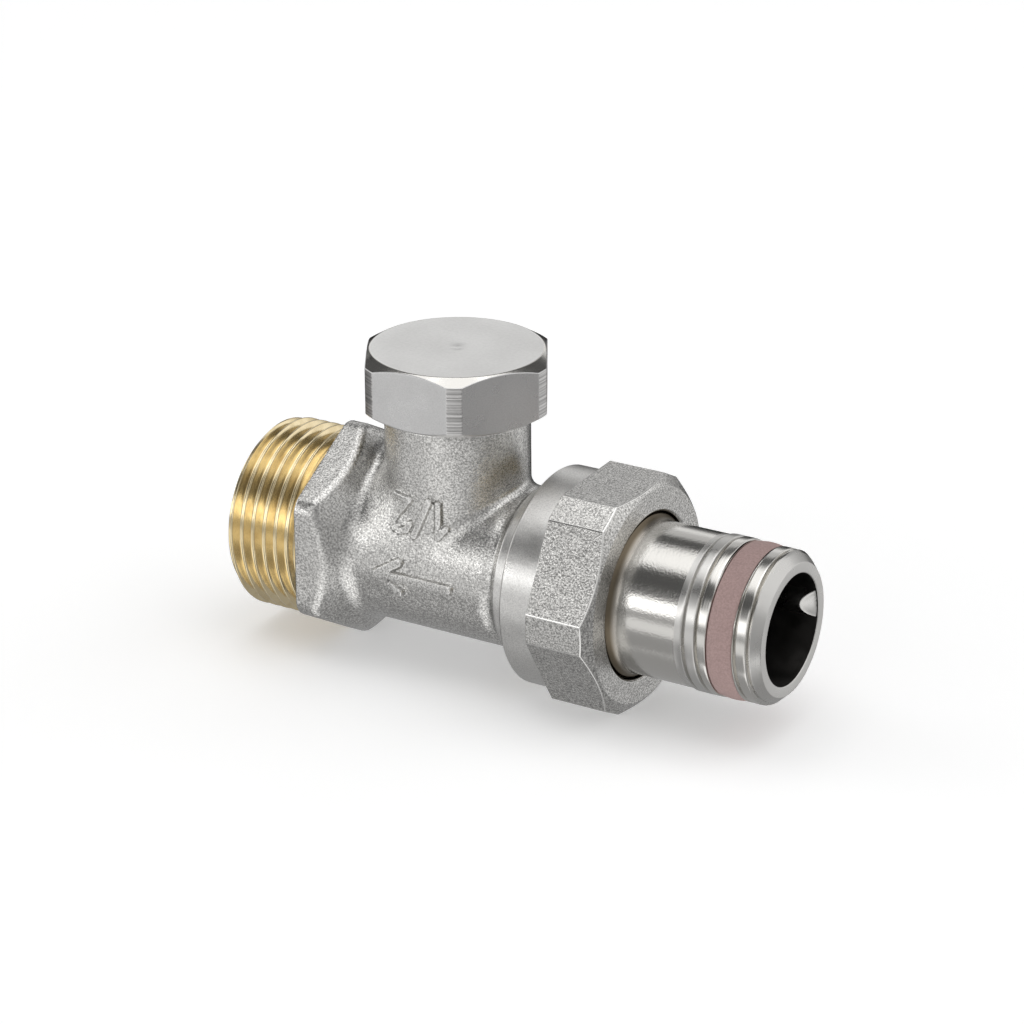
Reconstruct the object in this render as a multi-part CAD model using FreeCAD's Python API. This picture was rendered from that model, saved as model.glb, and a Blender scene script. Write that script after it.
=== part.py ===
"""Straight radiator return valve: threaded inlet, lockshield spindle under a hexagonal cap, union tail.

All lengths are millimetres. The pipe axis is the X axis and the origin is the centre of the inlet's
end face. The water runs towards +X, +Z points up through the cap, and the cap's axis crosses the
pipe axis at a right angle. Threads are plain cylinders at their outside diameter.
"""
import FreeCAD
import Part
import math
import os

from FreeCAD import Vector

# Clearances
running_clearance = 0.05         # radial, between a thread or shaft and its hole
seat_clearance = 0.10            # between the tail's cone and its seat in the body
ring_clearance = 0.03            # round the sealing rings in their grooves

# Body: inlet thread G 3/4 and its socket for a cone fitting
inlet_reach = 29.4               # inlet end face to the cap's axis
pipe_thread_radius = 13.22
inlet_thread_length = 11.8
thread_chamfer = 1.1
inlet_wall = 3.32                # from the thread's crests in to the socket's mouth
socket_cone_angle = 15.0         # degrees, half angle of the sealing cone
socket_cone_length = 3.0
socket_step = 1.8                # from the socket's mouth in to its plain wall
socket_depth = 12.0

# Body: hexagon for the fitting spanner and the forged cone behind it
flange_rise = 0.38               # from the thread's crests up to the flats
flange_corner_rise = 1.65        # from the flats up to the rounded corners
flange_corner_length = 3.0       # width of the hexagon at its corners
flange_cone_angle = 47.0         # degrees, half angle
flange_blend_radius = 2.2
flange_edge_chamfer = 0.35

# Body: tube, collar and union thread, of the same size as the inlet's
bore_radius = 7.5
tube_wall = 3.55
tube_run = 1.5                   # from the neck to the groove before the collar
groove_depth = 0.35
collar_rise = 0.75
collar_length = 4.2
collar_blend_radius = 0.7
union_thread_length = 7.2

# Body: passages and seat
inlet_bore_radius = 6.5
bridge_wall = 1.6                # between the spindle's chamber and each pipe bore
passage_radius = 3.6
seat_height = 1.0
seat_thickness = 2.2
seat_bore_radius = 4.2
seat_edge_chamfer = 0.8
high_passage_lift = 0.7          # from the seat up to the passage above it
chamber_step = 0.85              # from the insert's wall in to the chamber's
chamber_headroom = 0.5           # from the upper passage up to the insert

# Bonnet insert, and the neck round it under the cap
insert_bore_radius = 6.0
insert_wall = 1.45
insert_thread_step = 0.5         # from the insert's bore in to its thread
insert_slot_width = 2.0
insert_slot_depth = 1.0
insert_groove_depth = 1.2
insert_groove_width = 1.5
insert_groove_lift = 1.0
insert_top_gap = 0.4             # from the insert's top up to the neck's rim
neck_wall = 2.55
neck_relief = 0.25               # from the cap thread's crests in to the forged neck
neck_draft = 0.15                # added to the neck's radius at the pipe axis
neck_shoulder_height = 20.6
neck_thread_length = 5.0
neck_thread_chamfer = 0.6
neck_blend_radius = 1.0

# Retaining ring in the insert
retainer_groove_depth = 0.5
retainer_thickness = 0.7
retainer_width = 1.3
retainer_gap = 3.0
retainer_drop = 0.5              # from the insert's top down to the ring's groove

# Spindle, shown fully open
spindle_stroke = 4.0
spindle_head_length = 3.4
spindle_head_play = 0.35         # between the open head and the retaining ring
spindle_closed_play = 0.25       # between the closed head and the insert's shoulder
spindle_groove_depth = 1.15
spindle_groove_width = 1.4
key_across_flats = 6.0
key_depth = 5.6
plug_clearance = 0.2
plug_taper = 1.4                 # from the plug's radius in to its tip's
plug_length = 2.6
seal_lip_clearance = 0.3         # from the insert's thread in to the lip above the seat ring
seal_lip_thickness = 1.2
seat_ring_section = 1.7          # diameter of the seat ring's cord
spindle_relief_depth = 1.15
spindle_relief_length = 1.0

# Cap and its seal
cap_skirt_gap = 0.4              # from the neck's shoulder up to the cap
cap_wall = 1.95                  # from the cap's bore out to its flats
cap_corner_rise = 1.2            # from the flats up to the turned corners
cap_top_thickness = 2.3
cap_face_inset = 0.4             # from the flats in to the edge of the turned face
cap_chamfer_angle = 30.7         # degrees, against the face
cap_dimple_radius = 0.9
cap_dimple_depth = 0.25
cap_seal_thickness = 1.4
cap_seal_width = 2.2
cap_seal_side_gap = 0.12

# Union nut
nut_wall = 1.58                  # from its thread's hole out to the skirt
nut_flat_rise = 0.15             # from the skirt up to the flats
nut_corner_rise = 1.14           # from the flats up to the flat that cuts each corner
nut_turn = 2.0                   # degrees, as it was tightened
nut_thread_lead = 0.5            # how far the nut reaches over the collar
nut_skirt_length = 4.9
nut_face_inset = 0.35            # from the flats in to the edge of the front face
nut_chamfer_angle = 34.6         # degrees, against the face
nut_front_thickness = 3.2
nut_bore_gap = 1.07              # between the tail and the nut's bore
nut_bore_chamfer = 0.25
nut_edge_chamfer = 0.3

# Tailpiece, R 1/2 at its free end, and its seal ring
tail_wall = 2.78
tail_thread_rise = 0.2
tail_thread_length = 10.7
tail_projection = 24.35          # from the collar to the open end
tail_end_ring = 1.4              # width of the end face
tail_end_chamfer_length = 1.4
tail_collar_overlap = 0.65       # of the collar behind the nut's lip
tail_collar_thickness = 2.6
tail_collar_gap = 0.55           # from the body's end face to the collar
tail_nose_wall = 1.05
union_cone_inset = 1.1           # from the collar's radius in to the cone seat's mouth
union_cone_angle = 30.0          # degrees, half angle
tail_seal_inset = 3.55           # from the seal ring to the open end
tail_seal_width = 3.65
tail_seal_drop = 0.02            # from the thread's crests down to the seal ring
tail_seal_crown = 0.25
tail_groove_depth = 1.6
lug_radius = 2.25
lug_rise = 1.4                   # from the bore's wall in to the lug's crest
lug_length = 6.0
lug_lead_inset = 0.25            # from the end face to where the lugs' lead-in starts
lug_lead_angle = 38.0            # degrees, half angle
tail_turn = 6.5                  # degrees, as the tail came to rest

# Directions, and how far a cutting or joining tool runs past a face
pipe_axis = Vector(1, 0, 0)
cap_axis = Vector(0, 0, 1)
axis_x = inlet_reach
cap_centre = Vector(axis_x, 0, 0)
overlap = 1.0

# Radii that follow, from the inside out
socket_mouth_radius = pipe_thread_radius - inlet_wall
socket_throat_radius = socket_mouth_radius - socket_cone_length * math.tan(math.radians(socket_cone_angle))
socket_radius = socket_mouth_radius - socket_step
flange_across_flats = 2 * (pipe_thread_radius + flange_rise)
flange_corner_radius = flange_across_flats / 2 + flange_corner_rise
tube_radius = bore_radius + tube_wall
collar_radius = tube_radius + collar_rise
insert_radius = insert_bore_radius + insert_wall
insert_thread_radius = insert_bore_radius - insert_thread_step
insert_hole_radius = insert_radius + ring_clearance
chamber_radius = insert_radius - chamber_step
neck_thread_radius = insert_radius + neck_wall
neck_radius = neck_thread_radius - neck_relief
cap_hole_radius = neck_thread_radius + running_clearance
cap_across_flats = 2 * (cap_hole_radius + cap_wall)
cap_corner_radius = cap_across_flats / 2 + cap_corner_rise
cap_face_radius = cap_across_flats / 2 - cap_face_inset
cap_seal_radius = neck_thread_radius - cap_seal_side_gap
nut_hole_radius = pipe_thread_radius + running_clearance
nut_skirt_radius = nut_hole_radius + nut_wall
nut_across_flats = 2 * (nut_skirt_radius + nut_flat_rise)
nut_corner_distance = nut_across_flats / 2 + nut_corner_rise
nut_face_radius = nut_across_flats / 2 - nut_face_inset
tail_radius = bore_radius + tail_wall
tail_thread_radius = tail_radius + tail_thread_rise
tail_groove_radius = tail_thread_radius - tail_groove_depth
tail_seal_radius = tail_thread_radius - tail_seal_drop
nut_bore_radius = tail_radius + nut_bore_gap
tail_collar_radius = nut_bore_radius + tail_collar_overlap
union_cone_radius = tail_collar_radius - union_cone_inset
union_slope = math.tan(math.radians(union_cone_angle))

# Heights that follow, above the pipe axis
low_passage_height = seat_height - seat_thickness - passage_radius
high_passage_height = seat_height + high_passage_lift + passage_radius
insert_bottom_height = high_passage_height + passage_radius + chamber_headroom
neck_top_height = neck_shoulder_height + neck_thread_length
insert_top_height = neck_top_height - insert_top_gap
retainer_top_height = insert_top_height - retainer_drop
retainer_bottom_height = retainer_top_height - retainer_thickness
spindle_top_height = retainer_bottom_height - spindle_head_play
spindle_shoulder_height = spindle_top_height - spindle_head_length
insert_shoulder_height = spindle_shoulder_height - spindle_stroke - spindle_closed_play
seat_ring_radius = seat_ring_section / 2
seat_ring_centre_radius = seat_bore_radius + running_clearance
cap_bottom_height = neck_shoulder_height + cap_skirt_gap
cap_ceiling_height = neck_top_height + cap_seal_thickness
cap_top_height = cap_ceiling_height + cap_top_thickness

# Places that follow along the pipe axis, from the inlet's end face
bridge_reach = chamber_radius + bridge_wall
cone_x = inlet_thread_length + flange_corner_length
cone_run = (flange_corner_radius - tube_radius) / math.tan(math.radians(flange_cone_angle))
cone_end_x = cone_x + cone_run
groove_x = axis_x + neck_radius + neck_draft + tube_run
union_thread_x = groove_x + collar_length
union_end_x = union_thread_x + union_thread_length
nut_open_x = union_thread_x - nut_thread_lead
nut_hexagon_x = nut_open_x + nut_skirt_length
collar_x = union_end_x + tail_collar_gap
collar_end_x = collar_x + tail_collar_thickness
nut_lip_x = collar_end_x + running_clearance
nut_front_x = nut_lip_x + nut_front_thickness
tail_end_x = collar_end_x + tail_projection
tail_seal_end_x = tail_end_x - tail_seal_inset
tail_seal_x = tail_seal_end_x - tail_seal_width


def turned(profile, centre, axis):
    """Solid of revolution of a closed profile of (place along the axis, radius) points."""
    side = Vector(0, 0, 1) if axis.x else Vector(1, 0, 0)
    points = [centre + axis * along + side * radius for along, radius in profile]
    face = Part.Face(Part.makePolygon(points + points[:1]))
    return face.revolve(centre, axis, 360)


def turned_on_pipe(profile):
    """Solid turned about the pipe axis; places are measured from the inlet's end face."""
    return turned(profile, Vector(0, 0, 0), pipe_axis)


def turned_on_cap(profile):
    """Solid turned about the cap's axis; places are heights above the pipe axis."""
    return turned(profile, cap_centre, cap_axis)


def round_ring(centre_radius, cord_radius, height):
    """Sealing ring of round section about the cap's axis."""
    return Part.makeTorus(centre_radius, cord_radius, cap_centre + cap_axis * height, cap_axis)


def prism_on_pipe(corners, start, end):
    """Prism along the pipe axis from (y, z) corners."""
    points = [Vector(start, y, z) for y, z in corners]
    face = Part.Face(Part.makePolygon(points + points[:1]))
    return face.extrude(pipe_axis * (end - start))


def regular_corners(across_flats, sides, first_angle):
    """Corners of a regular polygon, the first at first_angle degrees."""
    radius = across_flats / 2 / math.cos(math.pi / sides)
    angles = [math.radians(first_angle) + 2 * math.pi * index / sides for index in range(sides)]
    return [(radius * math.cos(angle), radius * math.sin(angle)) for angle in angles]


def edges_where(shape, test):
    """Edges whose points all pass a test."""
    chosen = []
    for edge in shape.Edges:
        points = edge.discretize(7)
        if all(test(point) for point in points):
            chosen.append(edge)
    return chosen


def distance_from_cap_axis(point):
    return math.hypot(point.x - axis_x, point.y)


def forged_outside():
    """Outside of the body: inlet thread, hexagon with its cone, tube, collar and union thread."""
    flange_x = inlet_thread_length
    flange_round = turned_on_pipe([
        (flange_x, 0),
        (flange_x, flange_corner_radius - flange_edge_chamfer),
        (flange_x + flange_edge_chamfer, flange_corner_radius),
        (cone_x, flange_corner_radius),
        (cone_end_x, tube_radius),
        (cone_end_x, 0),
    ])
    hexagon = prism_on_pipe(regular_corners(flange_across_flats, 6, 90), flange_x, cone_end_x)
    flange = flange_round.common(hexagon)

    blend_x = groove_x + groove_depth
    root_radius = pipe_thread_radius - thread_chamfer
    line = turned_on_pipe([
        (0, 0),
        (0, root_radius),
        (thread_chamfer, pipe_thread_radius),
        (flange_x + overlap, pipe_thread_radius),
        (flange_x + overlap, tube_radius),
        (groove_x - groove_depth, tube_radius),
        (groove_x, tube_radius - groove_depth),
        (blend_x, tube_radius - groove_depth),
        (blend_x + collar_blend_radius, collar_radius),
        (union_thread_x - thread_chamfer, collar_radius),
        (union_thread_x, pipe_thread_radius),
        (union_end_x - thread_chamfer, pipe_thread_radius),
        (union_end_x, root_radius),
        (union_end_x, 0),
    ])
    neck = turned_on_cap([
        (0, 0),
        (0, neck_radius + neck_draft),
        (neck_shoulder_height - neck_thread_chamfer, neck_radius),
        (neck_shoulder_height, neck_radius - neck_thread_chamfer),
        (neck_shoulder_height + neck_thread_chamfer, neck_thread_radius),
        (neck_top_height - neck_thread_chamfer, neck_thread_radius),
        (neck_top_height, neck_thread_radius - neck_thread_chamfer),
        (neck_top_height, 0),
    ])
    outside = line.fuse([flange]).removeSplitter()
    foot = edges_where(outside, lambda point: abs(point.x - cone_end_x) < 0.01)
    outside = outside.makeFillet(flange_blend_radius, foot)
    outside = outside.fuse(neck).removeSplitter()

    def on_neck_foot(point):
        near_neck = abs(distance_from_cap_axis(point) - neck_radius) < 2 * neck_draft
        return near_neck and 0 < point.z < neck_shoulder_height - 2 * neck_thread_chamfer

    foot = edges_where(outside, on_neck_foot)
    room = groove_x - groove_depth - axis_x - neck_radius - neck_draft
    return outside.makeFillet(min(neck_blend_radius, 0.9 * room), foot)


def body_passages():
    """Everything that is bored out of the body."""
    inlet = turned_on_pipe([
        (-overlap, 0),
        (-overlap, socket_mouth_radius),
        (0, socket_mouth_radius),
        (socket_cone_length, socket_throat_radius),
        (socket_cone_length, socket_radius),
        (socket_depth, socket_radius),
        (socket_depth, inlet_bore_radius),
        (axis_x - bridge_reach, inlet_bore_radius),
        (axis_x - bridge_reach, 0),
    ])
    cone_length = (union_cone_radius - bore_radius) / union_slope
    outlet = turned_on_pipe([
        (axis_x + bridge_reach, 0),
        (axis_x + bridge_reach, bore_radius),
        (union_end_x - cone_length, bore_radius),
        (union_end_x, union_cone_radius),
        (union_end_x + overlap, union_cone_radius),
        (union_end_x + overlap, 0),
    ])
    low_start = Vector(axis_x - bridge_reach - overlap, 0, low_passage_height)
    low_passage = Part.makeCylinder(passage_radius, bridge_reach + overlap, low_start, pipe_axis)
    high_start = Vector(axis_x, 0, high_passage_height)
    high_passage = Part.makeCylinder(passage_radius, bridge_reach + overlap, high_start, pipe_axis)
    upright = turned_on_cap([
        (low_passage_height, 0),
        (low_passage_height, seat_bore_radius),
        (seat_height - seat_edge_chamfer, seat_bore_radius),
        (seat_height, seat_bore_radius + seat_edge_chamfer),
        (seat_height, chamber_radius),
        (insert_bottom_height, chamber_radius),
        (insert_bottom_height, insert_hole_radius),
        (neck_top_height + overlap, insert_hole_radius),
        (neck_top_height + overlap, 0),
    ])
    return [inlet, outlet, low_passage, high_passage, upright]


def make_valve_body():
    return forged_outside().cut(body_passages())


def make_bonnet_insert():
    groove_low = insert_bottom_height + insert_groove_lift
    groove_high = groove_low + insert_groove_width
    groove_radius = insert_radius - insert_groove_depth
    retainer_radius = insert_bore_radius + retainer_groove_depth
    sleeve = turned_on_cap([
        (insert_bottom_height, insert_thread_radius),
        (insert_bottom_height, insert_radius),
        (groove_low, insert_radius),
        (groove_low, groove_radius),
        (groove_high, groove_radius),
        (groove_high, insert_radius),
        (insert_top_height, insert_radius),
        (insert_top_height, insert_bore_radius),
        (retainer_top_height, insert_bore_radius),
        (retainer_top_height, retainer_radius),
        (retainer_bottom_height, retainer_radius),
        (retainer_bottom_height, insert_bore_radius),
        (insert_shoulder_height, insert_bore_radius),
        (insert_shoulder_height, insert_thread_radius),
    ])
    slot_corner = Vector(-insert_slot_width / 2, -insert_radius - overlap, insert_top_height - insert_slot_depth)
    slot = Part.makeBox(insert_slot_width, 2 * (insert_radius + overlap), insert_slot_depth + overlap, slot_corner)
    slot.translate(cap_centre)
    return sleeve.cut(slot)


def make_bonnet_o_ring():
    cord_radius = insert_groove_depth / 2
    height = insert_bottom_height + insert_groove_lift + insert_groove_width / 2
    return round_ring(insert_radius - cord_radius, cord_radius - ring_clearance, height)


def make_retaining_ring():
    outer = insert_bore_radius + retainer_groove_depth - ring_clearance
    ring = turned_on_cap([
        (retainer_bottom_height + ring_clearance, outer - retainer_width),
        (retainer_bottom_height + ring_clearance, outer),
        (retainer_top_height - ring_clearance, outer),
        (retainer_top_height - ring_clearance, outer - retainer_width),
    ])
    gap_corner = Vector(0, -retainer_gap / 2, retainer_bottom_height - overlap)
    gap = Part.makeBox(insert_radius, retainer_gap, retainer_thickness + 2 * overlap, gap_corner)
    gap.translate(cap_centre)
    return ring.cut(gap)


def seat_ring_height():
    """Height of the seat ring's centre with the spindle open."""
    chamfer_offset = seat_bore_radius - (seat_height - seat_edge_chamfer)
    stand_off = math.sqrt(2) * (seat_ring_radius + ring_clearance)
    closed = seat_ring_centre_radius - chamfer_offset + stand_off
    return closed + spindle_stroke


def make_spindle():
    groove_radius = seat_ring_centre_radius - seat_ring_radius
    ring_low = seat_ring_height() - seat_ring_radius
    ring_high = seat_ring_height() + seat_ring_radius
    lip_high = ring_high + seal_lip_thickness
    thread_radius = insert_thread_radius - running_clearance
    head_radius = insert_bore_radius - running_clearance
    plug_radius = seat_bore_radius - plug_clearance
    seal_lip_radius = insert_thread_radius - seal_lip_clearance
    relief_radius = thread_radius - spindle_relief_depth
    head_middle = spindle_top_height - spindle_head_length / 2
    groove_low = head_middle - spindle_groove_width / 2
    groove_high = head_middle + spindle_groove_width / 2
    outside = turned_on_cap([
        (ring_low - plug_length, 0),
        (ring_low - plug_length, plug_radius - plug_taper),
        (ring_low - ring_clearance, plug_radius),
        (ring_low + seat_ring_radius / 2, plug_radius),
        (ring_low + seat_ring_radius / 2, groove_radius),
        (ring_high, groove_radius),
        (ring_high, seal_lip_radius),
        (lip_high, seal_lip_radius),
        (lip_high, relief_radius),
        (lip_high + spindle_relief_length, relief_radius),
        (lip_high + spindle_relief_length, thread_radius),
        (spindle_shoulder_height, thread_radius),
        (spindle_shoulder_height, head_radius),
        (groove_low, head_radius),
        (groove_low, head_radius - spindle_groove_depth),
        (groove_high, head_radius - spindle_groove_depth),
        (groove_high, head_radius),
        (spindle_top_height, head_radius),
        (spindle_top_height, 0),
    ])
    corners = [
        Vector(axis_x + x, y, spindle_top_height - key_depth)
        for x, y in regular_corners(key_across_flats, 6, 0)
    ]
    socket = Part.Face(Part.makePolygon(corners + corners[:1])).extrude(cap_axis * (key_depth + overlap))
    return outside.cut(socket)


def make_spindle_o_ring():
    outer = insert_bore_radius
    inner = insert_bore_radius - running_clearance - spindle_groove_depth
    height = spindle_top_height - spindle_head_length / 2
    return round_ring((outer + inner) / 2, (outer - inner) / 2 - ring_clearance, height)


def make_seat_o_ring():
    cord_radius = seat_ring_radius - ring_clearance
    ring = round_ring(seat_ring_centre_radius, cord_radius, seat_ring_height())
    return ring.cut(make_spindle())


def make_cap():
    """Hexagonal cap with turned corners, chamfered above and below, over the neck's thread."""
    chamfer_drop = (cap_corner_radius - cap_face_radius) * math.tan(math.radians(cap_chamfer_angle))
    outline = turned_on_cap([
        (cap_bottom_height, 0),
        (cap_bottom_height, cap_face_radius),
        (cap_bottom_height + chamfer_drop, cap_corner_radius),
        (cap_top_height - chamfer_drop, cap_corner_radius),
        (cap_top_height, cap_face_radius),
        (cap_top_height, cap_dimple_radius),
        (cap_top_height - cap_dimple_depth, 0),
    ])
    corners = [
        Vector(axis_x + x, y, cap_bottom_height)
        for x, y in regular_corners(cap_across_flats, 6, 0)
    ]
    face = Part.Face(Part.makePolygon(corners + corners[:1]))
    hexagon = face.extrude(cap_axis * (cap_top_height - cap_bottom_height))
    inside = turned_on_cap([
        (cap_bottom_height - overlap, 0),
        (cap_bottom_height - overlap, cap_hole_radius),
        (cap_ceiling_height, cap_hole_radius),
        (cap_ceiling_height, 0),
    ])
    return outline.common(hexagon).cut(inside)


def make_cap_seal():
    return turned_on_cap([
        (neck_top_height + ring_clearance, cap_seal_radius - cap_seal_width),
        (neck_top_height + ring_clearance, cap_seal_radius),
        (cap_ceiling_height - ring_clearance, cap_seal_radius),
        (cap_ceiling_height - ring_clearance, cap_seal_radius - cap_seal_width),
    ])


def make_union_nut():
    """Union nut: turned skirt, hexagon with cut corners, chamfered front and a lip behind the tail."""
    step_x = union_end_x + 2 * seat_clearance
    chamfer_slope = math.tan(math.radians(nut_chamfer_angle))
    rim_radius = nut_across_flats
    envelope = turned_on_pipe([
        (nut_hexagon_x, 0),
        (nut_hexagon_x, rim_radius),
        (nut_front_x - (rim_radius - nut_face_radius) * chamfer_slope, rim_radius),
        (nut_front_x, nut_face_radius),
        (nut_front_x, 0),
    ])
    flats = prism_on_pipe(regular_corners(nut_across_flats, 6, nut_turn - 90 + 30), nut_hexagon_x, nut_front_x)
    cuts = prism_on_pipe(regular_corners(2 * nut_corner_distance, 6, nut_turn - 90), nut_hexagon_x, nut_front_x)
    skirt = turned_on_pipe([
        (nut_open_x, 0),
        (nut_open_x, nut_skirt_radius - nut_edge_chamfer),
        (nut_open_x + nut_edge_chamfer, nut_skirt_radius),
        (nut_hexagon_x + overlap, nut_skirt_radius),
        (nut_hexagon_x + overlap, 0),
    ])
    outside = envelope.common(flats).common(cuts).fuse(skirt).removeSplitter()
    collar_hole = tail_collar_radius + 2 * running_clearance
    inside = turned_on_pipe([
        (nut_open_x - overlap, 0),
        (nut_open_x - overlap, nut_hole_radius),
        (step_x, nut_hole_radius),
        (step_x, collar_hole),
        (nut_lip_x, collar_hole),
        (nut_lip_x, nut_bore_radius),
        (nut_front_x - nut_bore_chamfer, nut_bore_radius),
        (nut_front_x, nut_bore_radius + nut_bore_chamfer),
        (nut_front_x + overlap, nut_bore_radius + nut_bore_chamfer),
        (nut_front_x + overlap, 0),
    ])
    return outside.cut(inside)


def make_tailpiece():
    """Tail: sealing cone and collar inside the nut, smooth barrel, grooved thread end and two driving lugs."""
    nose_radius = bore_radius + tail_nose_wall
    seat_offset = seat_clearance / math.cos(math.radians(union_cone_angle))
    cone_at_collar = union_cone_radius - seat_offset + (collar_x - union_end_x) * union_slope
    nose_x = collar_x - (cone_at_collar - nose_radius) / union_slope
    thread_x = tail_end_x - tail_thread_length
    outside = turned_on_pipe([
        (nose_x, bore_radius),
        (nose_x, nose_radius),
        (collar_x, cone_at_collar),
        (collar_x, tail_collar_radius),
        (collar_end_x, tail_collar_radius),
        (collar_end_x, tail_radius),
        (thread_x, tail_radius),
        (thread_x, tail_thread_radius),
        (tail_seal_x, tail_thread_radius),
        (tail_seal_x, tail_groove_radius),
        (tail_seal_end_x, tail_groove_radius),
        (tail_seal_end_x, tail_thread_radius),
        (tail_end_x - tail_end_chamfer_length, tail_thread_radius),
        (tail_end_x, bore_radius + tail_end_ring),
        (tail_end_x, bore_radius),
    ])
    lug_x = tail_end_x - lug_length
    bore = Part.makeCylinder(bore_radius + lug_rise / 2, lug_length, Vector(lug_x, 0, 0), pipe_axis)
    lead_length = bore_radius / math.tan(math.radians(lug_lead_angle))
    lead_end_x = tail_end_x - lug_lead_inset
    lead_in = turned_on_pipe([
        (lead_end_x - lead_length, 0),
        (lead_end_x, bore_radius),
        (lead_end_x, bore_radius + lug_rise),
        (tail_end_x + overlap, bore_radius + lug_rise),
        (tail_end_x + overlap, 0),
    ])
    lug_place = bore_radius - lug_rise + lug_radius
    lugs = []
    for side in (tail_turn, tail_turn + 180):
        start = Vector(lug_x, lug_place * math.cos(math.radians(side)), lug_place * math.sin(math.radians(side)))
        lug = Part.makeCylinder(lug_radius, lug_length, start, pipe_axis)
        lugs.append(lug.common(bore).cut(lead_in))
    return outside.fuse(lugs).removeSplitter()


def make_tail_seal_ring():
    start = tail_seal_x + ring_clearance
    end = tail_seal_end_x - ring_clearance
    inner = tail_groove_radius + ring_clearance
    return turned_on_pipe([
        (start, inner),
        (start, tail_seal_radius - tail_seal_crown),
        (start + tail_seal_crown, tail_seal_radius),
        (end - tail_seal_crown, tail_seal_radius),
        (end, tail_seal_radius - tail_seal_crown),
        (end, inner),
    ])


pieces = {
    "valve_body": make_valve_body,
    "bonnet_insert": make_bonnet_insert,
    "bonnet_o_ring": make_bonnet_o_ring,
    "retaining_ring": make_retaining_ring,
    "spindle": make_spindle,
    "spindle_o_ring": make_spindle_o_ring,
    "seat_o_ring": make_seat_o_ring,
    "cap": make_cap,
    "cap_seal": make_cap_seal,
    "union_nut": make_union_nut,
    "tailpiece": make_tailpiece,
    "tail_seal_ring": make_tail_seal_ring,
}

os.makedirs("parts", exist_ok=True)
for name, make in pieces.items():
    solid = make()
    solid.exportStep("parts/" + name + ".step")
    box = solid.BoundBox
    print(name, "solids", len(solid.Solids), "valid", solid.isValid(), "volume", round(solid.Volume, 1))
    print("   x", round(box.XMin, 2), round(box.XMax, 2), "z", round(box.ZMin, 2), round(box.ZMax, 2))
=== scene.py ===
"""Looks of the straight radiator return valve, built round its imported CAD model.

Lengths are millimetres in the part's own frame until a mesh is made: the pipe axis is X with the inlet's
end face at 0, and the cap's axis stands on it at NECK_X. MM turns them into Blender's metres.
"""

import math

import bpy
import numpy as np
from mathutils import Matrix, Vector


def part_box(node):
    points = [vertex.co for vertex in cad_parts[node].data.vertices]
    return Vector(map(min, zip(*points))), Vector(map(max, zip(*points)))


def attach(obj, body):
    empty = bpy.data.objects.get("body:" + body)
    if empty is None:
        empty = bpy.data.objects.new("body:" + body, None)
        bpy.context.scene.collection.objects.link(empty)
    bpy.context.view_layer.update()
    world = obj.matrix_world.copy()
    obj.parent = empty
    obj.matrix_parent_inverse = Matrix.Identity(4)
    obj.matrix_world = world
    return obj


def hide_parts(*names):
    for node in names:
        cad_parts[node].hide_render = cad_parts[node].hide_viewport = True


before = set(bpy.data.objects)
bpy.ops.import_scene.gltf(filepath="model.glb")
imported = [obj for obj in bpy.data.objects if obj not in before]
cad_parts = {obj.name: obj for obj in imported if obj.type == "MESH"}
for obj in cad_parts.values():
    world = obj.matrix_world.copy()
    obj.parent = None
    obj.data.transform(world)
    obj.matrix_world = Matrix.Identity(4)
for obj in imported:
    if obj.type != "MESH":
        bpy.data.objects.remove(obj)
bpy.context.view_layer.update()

MM = 0.001


def box_mm(node):
    """Lowest and highest corner of a CAD node, in millimetres."""
    low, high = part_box(node)
    return [value / MM for value in low], [value / MM for value in high]


BODY_HIGH = box_mm("valve_body")[1]
CAP_LOW, CAP_HIGH = box_mm("cap")
NUT_LOW, NUT_HIGH = box_mm("union_nut")
TAIL_LOW, TAIL_HIGH = box_mm("tailpiece")
SEAL_LOW, SEAL_HIGH = box_mm("tail_seal_ring")
NECK_X = (CAP_LOW[0] + CAP_HIGH[0]) / 2

PIPE_PITCH, PIPE_CREST, PIPE_CHAMFER = 1.814, 13.22, 1.1
CAP_PITCH, CAP_CREST, CAP_CHAMFER = 1.5, 10.0, 0.6

# Steps in the arc of a rounded corner, and the angle from a polygon's ridge to the profiles beside it
ROUND_STEPS = 4
RIDGE_STEP = 0.006


# Shapes turned about an axis, whose profile may change with the angle

def even_angles(count):
    return np.arange(count) * 2 * math.pi / count


def polygon_angles(normals, half, count):
    """Evenly spread angles, with more of them where a polygon's flats end, that far from their normals."""
    steps = (-0.02, -0.012, -RIDGE_STEP, 0.0, RIDGE_STEP, 0.012, 0.02)
    extra = [normal + side * (half + step) for normal in normals for side in (-1, 1) for step in steps]
    return np.unique(np.round(np.concatenate([even_angles(count), np.mod(extra, 2 * math.pi)]), 6))


def flats_radius(angles, normals, distance):
    """Distance to the nearest of several flats, along rays at the given angles."""
    least_cosine = 0.2
    reach = [distance / np.maximum(np.cos(angles - normal), least_cosine) for normal in normals]
    return np.min(reach, axis=0)


def soft_least(first, second, softness):
    """Smaller of two values, with their meeting rounded."""
    mixed = np.clip(0.5 + 0.5 * (second - first) / softness, 0, 1)
    return second * (1 - mixed) + first * mixed - softness * mixed * (1 - mixed)


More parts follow.
